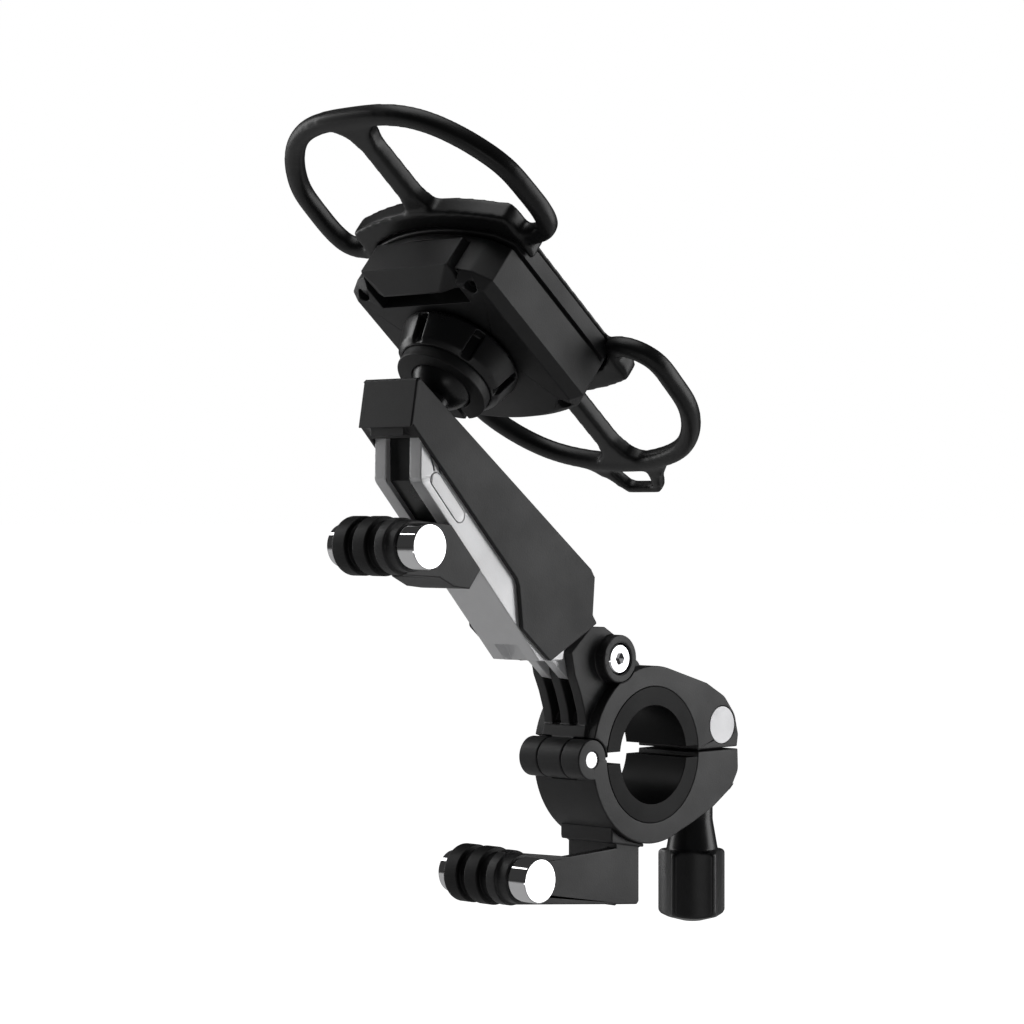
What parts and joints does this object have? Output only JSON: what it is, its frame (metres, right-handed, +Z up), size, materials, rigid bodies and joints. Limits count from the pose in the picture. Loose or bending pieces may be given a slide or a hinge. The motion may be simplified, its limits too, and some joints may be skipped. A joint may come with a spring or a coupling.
{
  "type": "handlebar phone mount",
  "caption": "Handlebar phone mount: hinged bar clamp, folding arm, ball head with a silicone phone band, and ribbed rollers on chrome pins.",
  "frame": {"origin": "centre of the handlebar clamp's bore", "axes": "+Y along the handlebar, +X towards the rider, +Z up"},
  "size_m": [0.1341, 0.0776, 0.2045],
  "materials": {
    "black_plastic": "matte grained",
    "black_metal": "matt powder coat",
    "rubber": "matte",
    "silicone": "satin",
    "silver": "satin anodised",
    "chrome": "polished",
    "steel": "satin",
    "brass": "machined"
  },
  "bodies": {
    "clamp_upper": {"upper_jaw": "black_metal", "sleeve_upper": "rubber", "hinge_pin": "chrome", "pivot_bolt": "chrome", "pivot_nut": "steel"},
    "clamp_lower": {"lower_jaw": "black_metal", "sleeve_lower": "rubber", "lower_arm": "black_metal", "lower_arm_screw": "steel", "lower_roller_pin": "chrome", "lower_roller_cap": "chrome"},
    "roller_low": {"lower_roller": "rubber"},
    "bolt": {"barrel_pin": "steel", "swing_bolt": "steel"},
    "knob": {"clamp_knob": "black_plastic", "knob_insert": "brass"},
    "arm": {"arm_core": "silver", "arm_cover": "black_plastic", "mounting_bar": "black_plastic", "roller_bracket": "black_metal", "upper_roller_pin": "chrome", "upper_roller_cap": "chrome", "ball_stud": "black_plastic", "oval_spring": "steel"},
    "roller_up": {"upper_roller": "rubber"},
    "oval": {"oval_button": "silver"},
    "ball_tilt": {"friction_liner": "black_plastic"},
    "ball_sway": {"pressure_cup": "steel"},
    "head": {"back_housing": "black_plastic", "socket_collet": "black_plastic", "housing_screws": "steel", "band_plate": "black_plastic", "silicone_band": "silicone", "release_spring": "steel"},
    "ring": {"lock_ring": "black_plastic"},
    "release": {"release_button": "black_plastic"}
  },
  "joints": [
    {"name": "arm_pivot", "type": "hinge", "parent": "clamp_upper", "child": "arm", "pos_m": [-0.0127, 0, 0.0251], "axis": [0, -1, 0], "range_deg": [-20, 35]},
    {"name": "ball_tilt", "type": "hinge", "parent": "arm", "child": "ball_tilt", "pos_m": [-0.06385, 0, 0.09565], "axis": [0, 1, 0], "range_deg": [-20, 20]},
    {"name": "ball_sway", "type": "hinge", "parent": "ball_tilt", "child": "ball_sway", "pos_m": [-0.06385, 0, 0.09565], "axis": [0.7694, 0, -0.6388], "range_deg": [-20, 20]},
    {"name": "ball_spin", "type": "hinge", "parent": "ball_sway", "child": "head", "pos_m": [-0.06385, 0, 0.09565], "axis": [0.6388, 0, 0.7694], "continuous": true},
    {"name": "lock_ring_turn", "type": "hinge", "parent": "head", "child": "ring", "pos_m": [-0.06385, 0, 0.09565], "axis": [0.6388, 0, 0.7694], "range_deg": [0, 120]},
    {"name": "release_press", "type": "slide", "parent": "head", "child": "release", "axis": [0.7694, 0, -0.6388], "range_m": [0, 0.002], "stiffness_N_per_m": 800, "springref_m": -0.0005},
    {"name": "oval_press", "type": "slide", "parent": "arm", "child": "oval", "axis": [0, 1, 0], "range_m": [0, 0.0008], "stiffness_N_per_m": 1000, "springref_m": -0.0003},
    {"name": "upper_roller_turn", "type": "hinge", "parent": "arm", "child": "roller_up", "pos_m": [-0.087, 0, 0.0543], "axis": [0, 1, 0], "continuous": true},
    {"name": "lower_roller_turn", "type": "hinge", "parent": "clamp_lower", "child": "roller_low", "pos_m": [-0.0497, 0, -0.0274], "axis": [0, 1, 0], "continuous": true},
    {"name": "bolt_swing", "type": "hinge", "parent": "clamp_upper", "child": "bolt", "pos_m": [0.0272, 0, 0.0063], "axis": [0, -1, 0], "range_deg": [0, 90]},
    {"name": "knob_turn", "type": "hinge", "parent": "bolt", "child": "knob", "pos_m": [0.0272, 0, -0.03], "axis": [0, 0, 1], "continuous": true},
    {"name": "jaw_open", "type": "hinge", "parent": "clamp_upper", "child": "clamp_lower", "pos_m": [-0.0231, 0, 0], "axis": [0, 1, 0], "range_deg": [0, 18]}
  ],
  "couplings": [
    {"joint": "jaw_open", "follows": "bolt_swing", "ratio": 0.2}
  ]
}
